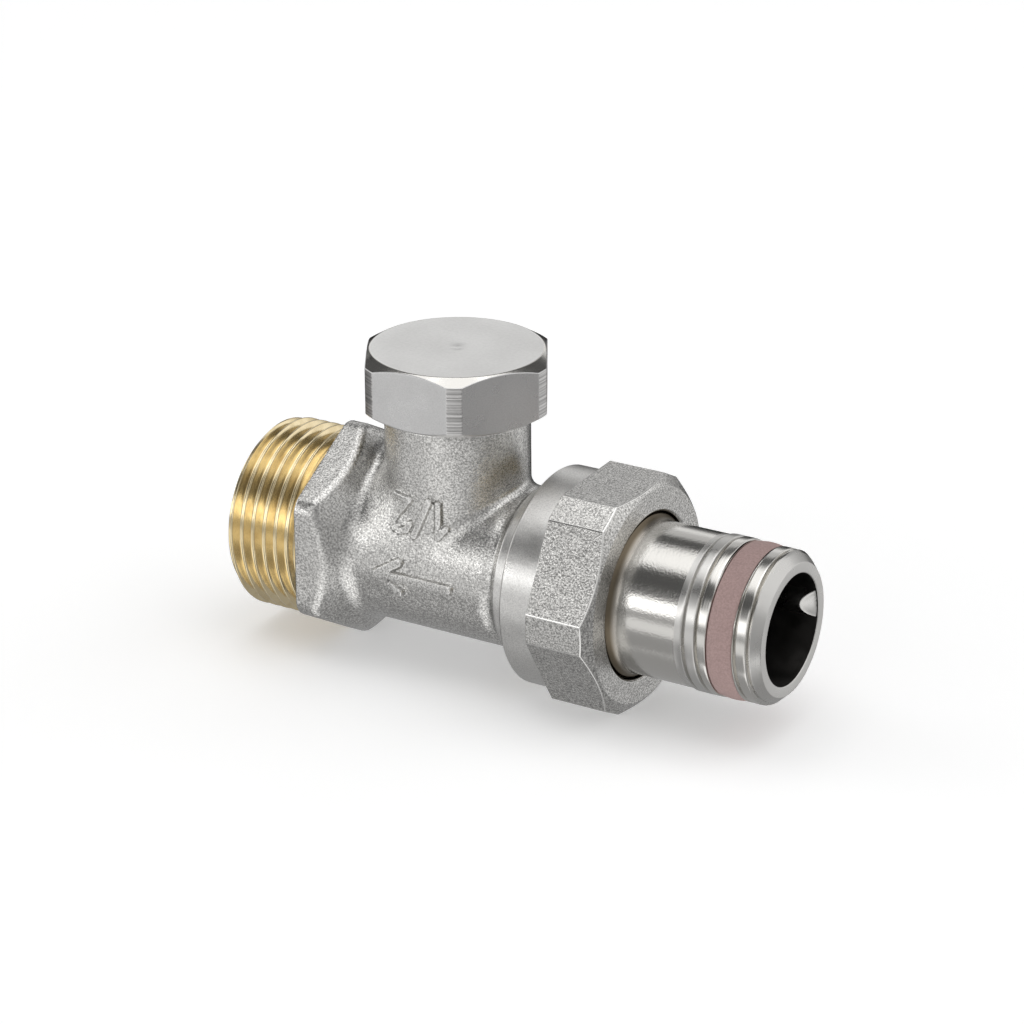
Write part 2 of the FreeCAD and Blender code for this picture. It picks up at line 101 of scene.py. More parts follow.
def softened(points, roundings, steps):
    """Profiles (angle, point, 2) with each corner replaced by an arc that starts that far from it."""
    most_of_side = 0.48
    before = np.roll(points, 1, axis=1) - points
    after = np.roll(points, -1, axis=1) - points
    length_before = np.linalg.norm(before, axis=2)
    length_after = np.linalg.norm(after, axis=2)
    out = []
    for index, rounding in enumerate(roundings):
        corner = points[:, index]
        if not rounding:
            out.append(corner)
            continue
        start = before[:, index] * np.minimum(rounding / length_before[:, index], most_of_side)[:, None]
        end = after[:, index] * np.minimum(rounding / length_after[:, index], most_of_side)[:, None]
        for step in range(steps + 1):
            t = step / steps
            out.append(corner + start * (1 - t) ** 2 + end * t ** 2)
    return np.stack(out, axis=1)


def profiles_of(corners, angles, steps=ROUND_STEPS):
    """Profiles from (along, radius, rounding) corners, whose places may have a value for each angle.

    A rounded corner gives one point more than its steps, and a plain one gives one point.
    """
    points = [np.broadcast_arrays(along, radius, angles)[:2] for along, radius, _ in corners]
    return softened(np.array(points).transpose(2, 0, 1), [rounding for _, _, rounding in corners], steps)


def field_of(items, field, kind=float, width=1):
    """Array of one field of a mesh's vertices, corners or faces."""
    values = np.empty(len(items) * width, dtype=kind)
    items.foreach_get(field, values)
    return values.reshape(-1, width) if width > 1 else values


def smooth_normals(mesh):
    """Vertex normals weighted by the faces' areas, so that flats stay flat beside their rounded edges."""
    normals = field_of(mesh.polygons, "normal", width=3)
    areas = field_of(mesh.polygons, "area")
    sizes = field_of(mesh.polygons, "loop_total", np.int64)
    corners = field_of(mesh.loops, "vertex_index", np.int64)
    weighted = np.repeat(normals * areas[:, None], sizes, axis=0)
    count = len(mesh.vertices)
    total = np.stack([np.bincount(corners, weights=part, minlength=count) for part in weighted.T], axis=1)
    total /= np.maximum(np.linalg.norm(total, axis=1), 1e-30)[:, None]
    mesh.normals_split_custom_set_from_vertices(total.tolist())


def face_outward(mesh):
    """Turn the faces of a closed mesh outward."""
    mesh.calc_loop_triangles()
    triangles = field_of(mesh.loop_triangles, "vertices", np.int64, 3)
    places = field_of(mesh.vertices, "co", width=3)
    first, second, third = places[triangles].transpose(1, 0, 2)
    if np.einsum("ij,ij->i", first, np.cross(second, third)).sum() < 0:
        mesh.flip_normals()


def finish_piece(name, vertices, faces, materials, face_materials, body, nodes, normals=None):
    """Piece from a closed mesh in millimetres, which rides on a body and may stand for CAD nodes."""
    mesh = bpy.data.meshes.new(name)
    mesh.from_pydata((np.asarray(vertices) * MM).tolist(), [], faces)
    for material in materials:
        mesh.materials.append(material)
    if face_materials is not None:
        mesh.polygons.foreach_set("material_index", np.asarray(face_materials, dtype=np.int32))
    mesh.polygons.foreach_set("use_smooth", np.ones(len(mesh.polygons), dtype=bool))
    mesh.update()
    face_outward(mesh)
    if normals is None:
        smooth_normals(mesh)
    else:
        mesh.normals_split_custom_set_from_vertices(normals.tolist())
    piece = bpy.data.objects.new(name, mesh)
    bpy.context.scene.collection.objects.link(piece)
    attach(piece, body)
    if nodes:
        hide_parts(*nodes)


def turned(name, angles, profiles, axis, centre, zones, materials, body, nodes, seam=None):
    """Mesh of closed profiles (angle, point, (along, radius)) about an axis.

    Zones give each point's material. The seam says which point of the first profile each point of the
    last one meets, where that isn't the same one, as on a thread.
    """
    turns, count = profiles.shape[:2]
    along, radius = profiles[:, :, 0], profiles[:, :, 1]
    cosine, sine = np.cos(angles)[:, None], np.sin(angles)[:, None]
    if axis == "x":
        places = np.stack([along, radius * cosine, radius * sine], axis=2)
    else:
        places = np.stack([radius * cosine, radius * sine, along], axis=2)
    places = places.reshape(-1, 3) + np.asarray(centre)
    turn, point = np.meshgrid(np.arange(turns), np.arange(count), indexing="ij")
    next_point = (point + 1) % count
    across = np.broadcast_to(np.arange(count), (turns, count)).copy()
    if seam is not None:
        across[-1] = seam
    next_turn = ((turn + 1) % turns) * count
    corners = [turn * count + point, next_turn + across]
    corners += [next_turn + np.roll(across, -1, axis=1), turn * count + next_point]
    quads = np.stack(corners, axis=2).reshape(-1, 4)
    zone = np.broadcast_to(np.asarray(zones), (turns, count)).reshape(-1)
    # corners that meet to five decimals are one
    _, first, merged = np.unique(np.round(places, 5), axis=0, return_index=True, return_inverse=True)
    merged = merged.reshape(-1)
    faces, face_zones = [], []
    for quad, material in zip(merged[quads].tolist(), zone.tolist()):
        face = list(dict.fromkeys(quad))
        if len(face) > 2:
            faces.append(face)
            face_zones.append(material)
    finish_piece(name, places[first], faces, materials, face_zones, body, nodes)


# The forging: a distance field of its rounded forms, turned into a mesh. Its places along the pipe are
# measured from the cap's axis, and its heights from the pipe axis

FLANGE_REACH, FLANGE_HALF_FLATS, FLANGE_CORNER = 17.6, 13.6, 15.25
FLANGE_CONE_REACH, FLANGE_CONE_ANGLE = 14.6, math.radians(47)
FLANGE_EDGE, FLANGE_CONE_EDGE, FLANGE_FILLET = 0.25, 0.6, 1.0
TUBE_RADIUS, TUBE_START, TUBE_END = 11.05, -16.8, 15.0
GROOVE_X, GROOVE_HALF_WIDTH, GROOVE_DEPTH = 11.2, 1.5, 0.22
COLLAR_X, COLLAR_RUN, COLLAR_RISE = 11.3, 1.3, 0.75
STEP_X, STEP_RUN, STEP_SLOPE = 14.5, 1.0, 1.3
NECK_RADIUS, NECK_DRAFT, NECK_DRAFT_HEIGHT, NECK_TOP, NECK_EDGE = 9.9, 0.15, 20.6, 20.5, 0.5
NECK_FILLET, NECK_FILLET_MORE, FILLET_CHANGE_X, FILLET_CHANGE_RUN = 1.1, 2.4, 2, 8
SOCKET_RADIUS, SOCKET_DEPTH = 8.3, 12.0
INLET_WAY_RADIUS, OUTLET_WAY_RADIUS, WAY_GAP = 6.5, 7.52, 8.2
PASSAGE_RADIUS, PASSAGE_REACH, LOW_PASSAGE_Z, HIGH_PASSAGE_Z = 3.6, 9.2, -4.8, 5.3
SEAT_RADIUS, SEAT_MIDDLE_Z, SEAT_HALF_HEIGHT = 4.2, -1.9, 2.95
SEAT_CONE_FOOT, SEAT_CONE_MIDDLE_Z, SEAT_CONE_HALF_HEIGHT = 4.0, 0.6, 0.5
CHAMBER_RADIUS, CHAMBER_FLOOR = 6.6, 1.0
INSERT_RADIUS, INSERT_FLOOR = 7.48, 9.4

# Raised marks: paths of (across, up) points on a surface that is laid out flat
ARROW = [[(-5.5, 0), (5.4, 0)], [(2.2, 2.1), (5.6, 0), (2.2, -2.1)]]
ONE = [[(-3.8, 1.1), (-2.8, 2.3), (-2.8, -2.3)]]
BAR = [[(-1.6, -2.6), (0.5, 2.6)]]
TWO = [[(1.2, 1.2), (1.6, 2.0), (2.5, 2.35), (3.4, 2.0), (3.7, 1.2), (3.3, 0.2), (1.3, -2.25), (3.9, -2.25)]]
ARROW_X, ARROW_TURN, ARROW_SPREAD, ARROW_HEIGHT, ARROW_WIDTH = -0.2, -0.02, 0.6, 0.75, 1.3
SIZE_Z, SIZE_RADIUS, SIZE_SPREAD, SIZE_HEIGHT, SIZE_WIDTH = 8.5, 9.8, 0.8, 0.7, 1.0


def smoothstep(value):
    value = np.clip(value, 0, 1)
    return value * value * (3 - 2 * value)


def round_most(a, b, radius):
    """Overlap of two solids, with a convex edge of that radius."""
    outside = np.hypot(np.maximum(radius + a, 0), np.maximum(radius + b, 0))
    return np.minimum(-radius, np.maximum(a, b)) + outside


def round_least(a, b, radius):
    """Union of two solids, with a fillet of that radius."""
    inside = np.hypot(np.maximum(radius - a, 0), np.maximum(radius - b, 0))
    return np.maximum(radius, np.minimum(a, b)) - inside


def stroke(u, v, path, half_width):
    """Height, 0 to 1, of a soft raised stroke along a path of (u, v) points."""
    flat_share, slope_share, far = 0.7, 0.55, 9.0
    nearest = np.full(np.shape(u), far)
    for (u0, v0), (u1, v1) in zip(path, path[1:]):
        run = (u1 - u0) ** 2 + (v1 - v0) ** 2
        t = np.clip(((u - u0) * (u1 - u0) + (v - v0) * (v1 - v0)) / run, 0, 1)
        nearest = np.minimum(nearest, np.hypot(u - u0 - t * (u1 - u0), v - v0 - t * (v1 - v0)))
    return 1 - smoothstep((nearest - half_width * flat_share) / (half_width * slope_share))


def raised(u, v, paths, height, width):
    """Height of raised marks at places (u, v) of a surface that is laid out flat."""
    return height * np.max([stroke(u, v, path, width / 2) for path in paths], axis=0)


def flange_field(x, y, z, radius):
    """Spanner hexagon with rounded corners and its forged cone."""
    flats = [np.abs(y * math.cos(turn) + z * math.sin(turn)) for turn in (0, math.pi / 3, 2 * math.pi / 3)]
    corner = radius - FLANGE_CORNER
    flange = round_most(np.max(flats, axis=0) - FLANGE_HALF_FLATS, corner, FLANGE_EDGE)
    cone = corner * math.cos(FLANGE_CONE_ANGLE) + (x + FLANGE_CONE_REACH) * math.sin(FLANGE_CONE_ANGLE)
    flange = round_most(flange, cone, FLANGE_CONE_EDGE)
    return round_most(flange, -FLANGE_REACH - x, FLANGE_EDGE)


def tube_field(x, y, z, radius):
    """Tube with the groove and the collar before the nut, and the flow arrow on its front."""
    groove = GROOVE_DEPTH * (1 - smoothstep(np.abs(x - GROOVE_X) / GROOVE_HALF_WIDTH))
    collar = COLLAR_RISE * smoothstep((x - COLLAR_X) / COLLAR_RUN)
    step = STEP_SLOPE * np.clip(x - STEP_X, 0, STEP_RUN)
    around = np.arctan2(z, -y)
    marks = raised(-(x - ARROW_X), -(around - ARROW_TURN) * TUBE_RADIUS, ARROW, ARROW_HEIGHT, ARROW_WIDTH)
    marks = np.where(np.abs(around) < ARROW_SPREAD, marks, 0)
    tube = radius - (TUBE_RADIUS - groove + collar + step) - marks
    return np.maximum(np.maximum(tube, TUBE_START - x), x - TUBE_END)


def neck_field(x, y, z, from_neck):
    """Neck with its draft, and the raised size on its front."""
    around = np.arctan2(x, -y)
    marks = raised(-around * SIZE_RADIUS, -(z - SIZE_Z), ONE + BAR + TWO, SIZE_HEIGHT, SIZE_WIDTH)
    marks = np.where((np.abs(around) < SIZE_SPREAD) & (z > 0), marks, 0)
    neck = from_neck - NECK_RADIUS + NECK_DRAFT * z / NECK_DRAFT_HEIGHT - marks
    return np.maximum(round_most(neck, z - NECK_TOP, NECK_EDGE), -z)


def bore_fields(x, y, z, radius, from_neck):
    """What is cut out of the forging: the ways for the water, the seat and the holes for the inner pieces."""
    low_passage = np.hypot(y, z - LOW_PASSAGE_Z) - PASSAGE_RADIUS
    high_passage = np.hypot(y, z - HIGH_PASSAGE_Z) - PASSAGE_RADIUS
    seat_cone = (from_neck - z - SEAT_CONE_FOOT) / math.sqrt(2)
    return [
        np.maximum(radius - SOCKET_RADIUS, x - SOCKET_DEPTH + NECK_X),
        np.maximum(radius - INLET_WAY_RADIUS, x + WAY_GAP),
        np.maximum(radius - OUTLET_WAY_RADIUS, WAY_GAP - x),
        np.maximum(np.maximum(low_passage, -PASSAGE_REACH - x), x),
        np.maximum(np.maximum(high_passage, x - PASSAGE_REACH), -x),
        np.maximum(from_neck - SEAT_RADIUS, np.abs(z - SEAT_MIDDLE_Z) - SEAT_HALF_HEIGHT),
        np.maximum(seat_cone, np.abs(z - SEAT_CONE_MIDDLE_Z) - SEAT_CONE_HALF_HEIGHT),
        np.maximum(from_neck - CHAMBER_RADIUS, CHAMBER_FLOOR - z),
        np.maximum(from_neck - INSERT_RADIUS, INSERT_FLOOR - z),
    ]


def forging(places):
    """Signed distance, nearly, to the forged body with its bores; the threads are separate pieces."""
    x, y, z = places[..., 0] - NECK_X, places[..., 1], places[..., 2]
    radius, from_neck = np.hypot(y, z), np.hypot(x, y)
    solid = round_least(flange_field(x, y, z, radius), tube_field(x, y, z, radius), FLANGE_FILLET)
    left = smoothstep((FILLET_CHANGE_X - x) / FILLET_CHANGE_RUN)
    solid = round_least(solid, neck_field(x, y, z, from_neck), NECK_FILLET + NECK_FILLET_MORE * left)
    return np.maximum(solid, -np.min(bore_fields(x, y, z, radius, from_neck), axis=0))


def polygonised(field, low, high, step):
    """Corners and quads of the surface where a field is zero, and the surface's direction at each corner."""
    ranges = [np.arange(int((end - start) / step) + 2) * step + start for start, end in zip(low, high)]
    value = field(np.stack(np.meshgrid(*ranges, indexing="ij"), axis=-1))
    cells = np.array(value.shape) - 1
    total = int(np.prod(cells))
    place_sum, hits, rings = np.zeros((total, 3)), np.zeros(total), []
    for axis in range(3):
        others = [side for side in range(3) if side != axis]
        near, far = [slice(None)] * 3, [slice(None)] * 3
        near[axis], far[axis] = slice(0, -1), slice(1, None)
        at_near, at_far = value[tuple(near)], value[tuple(far)]
        crossing = np.argwhere((at_near < 0) != (at_far < 0))
        fits = np.all((crossing[:, others] > 0) & (crossing[:, others] < cells[others]), axis=1)
        crossing = crossing[fits]
        start, end = at_near[tuple(crossing.T)], at_far[tuple(crossing.T)]
        place = crossing.astype(float)
        place[:, axis] += start / (start - end)
        ring = []
        for shift in ((0, 0), (-1, 0), (-1, -1), (0, -1)):
            cell = crossing.copy()
            cell[:, others] += shift
            ring.append(np.ravel_multi_index(cell.T, cells))
        for index in ring:
            hits += np.bincount(index, minlength=total)
            for side in range(3):
                place_sum[:, side] += np.bincount(index, weights=place[:, side], minlength=total)
        ring = np.stack(ring, axis=1)
        turned_round = (start < 0) == (axis == 1)
        ring[turned_round] = ring[turned_round][:, ::-1]
        rings.append(ring)
    used = np.nonzero(hits)[0]
    index = np.zeros(total, dtype=np.int64)
    index[used] = np.arange(len(used))
    places = place_sum[used] / hits[used][:, None] * step + np.asarray(low)
    places, slope = pulled_onto(field, places, step)
    return places, index[np.concatenate(rings)], slope


def pulled_onto(field, places, step):
    """Places moved along the field's slope to where it is zero, and the slope's direction there."""
    nudge, rounds, least_slope = 0.02, 4, 0.2
    for _ in range(rounds):
        now = field(places)
        slope = [field(places + shift) - field(places - shift) for shift in np.eye(3) * nudge]
        slope = np.stack(slope, axis=1) / (2 * nudge)
        move = now[:, None] * slope / np.maximum((slope ** 2).sum(axis=1), least_slope)[:, None]
        places = places - np.clip(move, -0.5 * step, 0.5 * step)
    return places, slope / np.linalg.norm(slope, axis=1)[:, None]


# Materials

class Shader:
    """A Principled material whose nodes are added one by one."""

    def __init__(self, name, colour, metallic, roughness):
        self.material = bpy.data.materials.new(name)
        self.material.use_nodes = True
        self.nodes = self.material.node_tree.nodes
        self.links = self.material.node_tree.links
        self.surface = self.nodes["Principled BSDF"]
        self.paint(colour)
        self.set(self.surface, "Metallic", metallic)
        self.set(self.surface, "Roughness", roughness)
        self.place = self.add("ShaderNodeTexCoord").outputs["Object"]

    def set(self, node, socket, value):
        """Give a socket a link, a colour or a number."""
        if isinstance(value, bpy.types.NodeSocket):
            self.links.new(value, node.inputs[socket])
        elif isinstance(value, tuple):
            node.inputs[socket].default_value = (*value, 1)
        else:
            node.inputs[socket].default_value = value

    def paint(self, colour):
        self.set(self.surface, "Base Color", colour)

    def add(self, kind, sockets=(), **settings):
        node = self.nodes.new(kind)
        for key, value in settings.items():
            setattr(node, key, value)
        for socket, value in dict(sockets).items():
            self.set(node, socket, value)
        return node

    def along(self, axis):
        """Place along one axis, in metres."""
        return self.add("ShaderNodeSeparateXYZ", {"Vector": self.place}).outputs[axis]

    def noise(self, size, detail, roughness):
        """Noise whose spots are about that many millimetres wide."""
        sockets = {"Vector": self.place, "Scale": 1 / (size * MM)}
        sockets.update({"Detail": detail, "Roughness": roughness})
        return self.add("ShaderNodeTexNoise", sockets).outputs["Fac"]

    def lines(self, axis, size):
        """Turning marks: noise that changes along one direction only."""
        place = self.add("ShaderNodeMath", {0: self.along(axis), 1: 1 / (size * MM)}, operation="MULTIPLY")
        sockets = {"W": place.outputs[0], "Detail": 4.0, "Scale": 1.0}
        return self.add("ShaderNodeTexNoise", sockets, noise_dimensions="1D").outputs["Fac"]

    def ramp(self, value, low, high, to_low=0, to_high=1):
        sockets = {"Value": value, "From Min": low, "From Max": high}
        sockets.update({"To Min": to_low, "To Max": to_high})
        return self.add("ShaderNodeMapRange", sockets).outputs["Result"]

    def mixed(self, factor, first, second):
        """Mix of two colours; the node's sockets are known by their numbers."""
        return self.add("ShaderNodeMix", {0: factor, 6: first, 7: second}, data_type="RGBA").outputs[2]

    def bump(self, *layers):
        """Bump from (height, depth in millimetres) layers."""
        normal = None
        for height, depth in layers:
            sockets = {"Height": height, "Distance": depth * MM, "Strength": 1.0}
            if normal:
                sockets["Normal"] = normal
            normal = self.add("ShaderNodeBump", sockets).outputs["Normal"]
        self.set(self.surface, "Normal", normal)


def darker(colour, share):
    """Colour made darker by a share, or lighter where that is negative."""
    return tuple(value * (1 - share) for value in colour)


def satin_nickel(name, colour, roughness, grain, depth, shade, lines=0.0, worn_edges=False):
    """Nickel on a blasted surface: fine grain, soft mottling, and perhaps turning lines or bright edges."""
    line_size, wear, bare = 0.22, 0.8, (0.92, 0.91, 0.89)
    shader = Shader(name, colour, 1.0, roughness)
    fine = shader.noise(grain, 4.0, 0.6)
    coarse = shader.noise(grain * 6, 3.0, 0.5)
    worn = shader.noise(grain * 22, 2.0, 0.5)
    grained = shader.mixed(shader.ramp(fine, 0.36, 0.62), darker(colour, shade), colour)
    if worn_edges:
        edge = shader.add("ShaderNodeNewGeometry").outputs["Pointiness"]
        grained = shader.mixed(shader.ramp(edge, 0.52, 0.58, 0, wear), grained, bare)
    shader.paint(grained)
    uneven = shader.ramp(worn, 0.3, 0.7, roughness - 0.05, roughness + 0.05)
    shader.set(shader.surface, "Roughness", uneven)
    layers = [(fine, depth), (coarse, depth)]
    if lines:
        layers.append((shader.lines("X", line_size), lines))
    shader.bump(*layers)
    return shader.material


def turned_metal(name, colour, roughness, axis, pitch, depth,
                 stain=None, streaks=0.0, grain=0.0, painted_shade=None):
    """Bright turned metal with fine tool marks along one axis, which may be darker streaks, or fine grain.

    The last argument, if given, is painted shade: a dull dark colour that fades out between two places along
    the pipe axis.
    """
    haze_size, dent_size, grain_size, dull = 2.5, 0.8, 0.32, 0.36
    shader = Shader(name, colour, 1.0, roughness)
    marks = shader.lines(axis, pitch)
    haze = shader.noise(haze_size, 3.0, 0.5)
    shader.set(shader.surface, "Roughness", shader.ramp(haze, 0.3, 0.7, roughness * 0.8, roughness * 1.25))
    if stain:
        shader.paint(shader.mixed(shader.ramp(haze, 0.45, 0.75), colour, stain))
    if streaks:
        shader.paint(shader.mixed(shader.ramp(marks, 0.42, 0.56), darker(colour, streaks), colour))
    # painted shade: a dull dark colour before one place along the pipe, fading out by the next
    if painted_shade:
        start, end, shade_colour = painted_shade
        along = shader.along("X")
        shader.paint(shader.mixed(shader.ramp(along, start * MM, end * MM), shade_colour, colour))
        shader.set(shader.surface, "Roughness", shader.ramp(along, start * MM, end * MM, dull, roughness))
    layers = [(marks, depth), (shader.noise(dent_size, 2.0, 0.5), depth * 0.6)]
    if grain:
        layers.append((shader.noise(grain_size, 3.0, 0.6), grain))
    shader.bump(*layers)
    return shader.material


def rubber(name, colour, roughness, grain):
    """Matt rubber with fine light grain."""
    shader = Shader(name, colour, 0.0, roughness)
    fine = shader.noise(grain, 3.0, 0.6)
    shader.paint(shader.mixed(shader.ramp(fine, 0.35, 0.65), colour, darker(colour, -0.3)))
    shader.bump((fine, grain * 0.1))
    return shader.material


BRIGHT_COLOUR = (0.68, 0.665, 0.635)
FORGED = satin_nickel(
    "forged_satin_nickel", (0.83, 0.82, 0.795), roughness=0.19, grain=0.25, depth=0.058, shade=0.60,
    worn_edges=True)
NUT = satin_nickel(
    "grainy_satin_nickel", (0.81, 0.80, 0.775), roughness=0.24, grain=0.24, depth=0.050, shade=0.68)
COLLAR = satin_nickel(
    "turned_collar_nickel", (0.78, 0.77, 0.75), roughness=0.32, grain=0.17, depth=0.014, shade=0.26,
    lines=0.014)
CAP = satin_nickel(
    "smooth_satin_nickel", (0.68, 0.675, 0.67), roughness=0.30, grain=0.16, depth=0.004, shade=0.10)
# The cap's top face is painted lighter than its sides: painted light where it faces up
CAP_TOP_PAINTED_LIGHT = satin_nickel(
    "cap_top_nickel_painted_light", (0.87, 0.865, 0.85), roughness=0.31, grain=0.45, depth=0.001, shade=0.06)
CAP_LINES = turned_metal(
    "turned_corner_nickel", (0.66, 0.65, 0.64), roughness=0.34, axis="Z", pitch=0.34, depth=0.03,
    streaks=0.4)
BRIGHT = turned_metal(
    "bright_turned_nickel", BRIGHT_COLOUR, roughness=0.13, axis="X", pitch=0.30, depth=0.0012, grain=0.010)
# The barrel's colour is painted shade inside the nut and just past its face, a dark tan fading out over 1.4
# mm
BARREL = turned_metal(
    "barrel_nickel_painted_shade", BRIGHT_COLOUR, roughness=0.13, axis="X", pitch=0.30, depth=0.0012,
    grain=0.018, painted_shade=(NUT_HIGH[0] + 0.1, NUT_HIGH[0] + 1.5, (0.17, 0.14, 0.10)))
EDGE = turned_metal(
    "bright_edge_nickel", (0.84, 0.83, 0.81), roughness=0.20, axis="X", pitch=0.3, depth=0.002)
GLOSSY = turned_metal(
    "glossy_nickel_thread", BRIGHT_COLOUR, roughness=0.17, axis="X", pitch=0.2, depth=0.003)
TURNED_SATIN = turned_metal(
    "turned_satin_nickel", (0.66, 0.65, 0.63), roughness=0.30, axis="X", pitch=0.12, depth=0.004)
BARE_BRASS = turned_metal(
    "bare_brass_thread", (0.88, 0.745, 0.48), roughness=0.18, axis="X", pitch=0.14, depth=0.002,
    stain=(0.72, 0.585, 0.35))
INNER_BRASS = turned_metal(
    "turned_inner_brass", (0.82, 0.65, 0.36), roughness=0.26, axis="Z", pitch=0.14, depth=0.003)
# The bore's near-black colour is painted shade inside the tail
BORE_PAINTED_SHADE = turned_metal(
    "bore_painted_shade", (0.10, 0.095, 0.09), roughness=0.45, axis="X", pitch=0.35, depth=0.006)
SPRING = turned_metal(
    "oiled_spring_steel", (0.36, 0.36, 0.37), roughness=0.28, axis="Z", pitch=0.2, depth=0.003)
PINK = rubber("pink_brown_ring", (0.33, 0.228, 0.215), roughness=0.62, grain=0.25)
BLACK = rubber("black_moulded_rubber", (0.018, 0.018, 0.018), roughness=0.45, grain=0.2)


# Body

def make_forged_body():
    """The forging, with its collar turned smooth past a step."""
    low, high, cell = (NECK_X - 18.2, -16.0, -16.0), (NECK_X + 15.8, 16.0, 21.4), 0.29
    collar_start, collar_radius = 12.45, 11.3
    places, quads, directions = polygonised(forging, low, high, cell)
    x, y, z = places[quads].mean(axis=1).T
    turned_part = (x > NECK_X + collar_start) & (np.hypot(y, z) > collar_radius)
    finish_piece("forged_body", places, quads.tolist(), [FORGED, COLLAR], turned_part, "body",
                 ["valve_body"], directions)


# Places along one pitch of a thread, in pitches from its crest, and its form: the share of its depth that
# stands, from 1 at the crest to 0 at the root, at distances from the crest
PIPE_MARKS = (0, 0.05, 0.075, 0.16, 0.27, 0.36, 0.40, 0.46, 0.54, 0.60, 0.64, 0.73, 0.84, 0.925, 0.95)
PIPE_FORM = ([0, 0.05, 0.075, 0.36, 0.40, 0.46, 0.5], [1, 1, 0.965, 0.07, 0.015, 0, 0])


def thread_stations(start, end, pitch, first_crest, marks, angles):
    """Places along a right-handed thread, lined up with its crests and roots, and cut square at both ends.

    Also gives how many turns each place is from a crest.
    """
    rounds = int((end - start) / pitch) + 4
    turns_along = (np.arange(-2, rounds)[:, None] + np.asarray(marks)).reshape(-1)
    first = math.floor((start - first_crest) / pitch)
    along = first_crest + pitch * (first + turns_along[None, :] + angles[:, None] / (2 * math.pi))
    along = np.clip(along, start, end)
    from_crest = (along - first_crest) / pitch - angles[:, None] / (2 * math.pi)
    return along, np.abs(from_crest - np.round(from_crest))


def fixed_profiles(points, angles):
    """The same (along, radius) points at each angle."""
    return np.broadcast_to(np.array(points), (len(angles), len(points), 2))


def threaded_end(name, start, end, crest, pitch, first_crest, limits, inner, axis, centre):
    """Bare brass end of the body with a thread, and the bore inside it.

    Limits are (along, most, least) radii: the chamfers that cut the thread, and the run-out that fills it.
    """
    angles = even_angles(200)
    depth = 0.64 * pitch
    along, away = thread_stations(start, end, pitch, first_crest, PIPE_MARKS, angles)
    radius = crest - depth * (1 - np.interp(away, *PIPE_FORM))
    places, most, least = zip(*limits)
    radius = np.minimum(radius, np.interp(along, places, most))
    radius = np.maximum(radius, np.interp(along, places, least))
    profiles = np.concatenate([np.stack([along, radius], axis=2), fixed_profiles(inner, angles)], axis=1)
    stations = along.shape[1]
    seam = [min(index + len(PIPE_MARKS), stations - 1) for index in range(stations)]
    seam += [stations + index for index in range(len(inner))]
    turned(name, angles, profiles, axis, centre, 0, [BARE_BRASS], "body",
           ["valve_body"], seam)


def make_inlet_thread():
    """Inlet's thread, which runs out at the flange, with the cone of its socket."""
    flange = NECK_X - FLANGE_REACH
    socket, mouth, cone_depth = 8.1, 9.9, 3.0
    throat = mouth - cone_depth * math.tan(math.radians(15))
    run_out, foot = 12.0, 12.9
    limits = [
        (0, PIPE_CREST - PIPE_CHAMFER, 0), (PIPE_CHAMFER, PIPE_CREST, 0),
        (flange - 1.3, PIPE_CREST, run_out), (flange - 0.1, PIPE_CREST, foot),
    ]
    inner = [
        (flange + 0.7, run_out), (flange + 0.7, socket), (cone_depth, socket), (cone_depth, throat),
        (0.15, mouth - 0.03), (0.0, mouth + 0.12),
    ]
    threaded_end("inlet_thread", 0.0, flange + 0.6, PIPE_CREST, PIPE_PITCH, NECK_X - 27.28, limits, inner,
                 "x", (0, 0, 0))


def make_union_thread():
    """Union's thread, with the cone seat for the tail in its mouth."""
    end, length = BODY_HIGH[0], 8.5
    bore, mouth, neck = 7.5, 10.84, 11.7
    limits = [
        (end - 8.3, neck, 0), (end - 7.2, PIPE_CREST, 0), (end - PIPE_CHAMFER, PIPE_CREST, 0),
        (end, PIPE_CREST - PIPE_CHAMFER, 0),
    ]
    inner = [(end, mouth + 0.16), (end - 0.1, mouth), (end - 5.89, bore), (end - length, bore)]
    threaded_end("union_thread", end - length, end, PIPE_CREST, PIPE_PITCH, end - 6.2, limits, inner,
                 "x", (0, 0, 0))


def make_cap_thread():
    """Neck's thread under the cap, round the hole for the insert."""
    top, length = BODY_HIGH[2], 5.3
    relief = 9.2
    limits = [
        (top - 5.0, relief, 0), (top - 4.2, CAP_CREST, 0), (top - CAP_CHAMFER, CAP_CREST, 0),
        (top, CAP_CREST - CAP_CHAMFER, 0),
    ]
    inner = [(top, INSERT_RADIUS + 0.12), (top - 0.1, INSERT_RADIUS), (top - length, INSERT_RADIUS)]
    threaded_end("cap_thread", top - length, top, CAP_CREST, CAP_PITCH, top - 4.2, limits, inner,
                 "z", (NECK_X, 0, 0))


make_forged_body()
make_inlet_thread()
make_union_thread()
make_cap_thread()


# Cap: hexagon with turned corners, chamfered at both ends

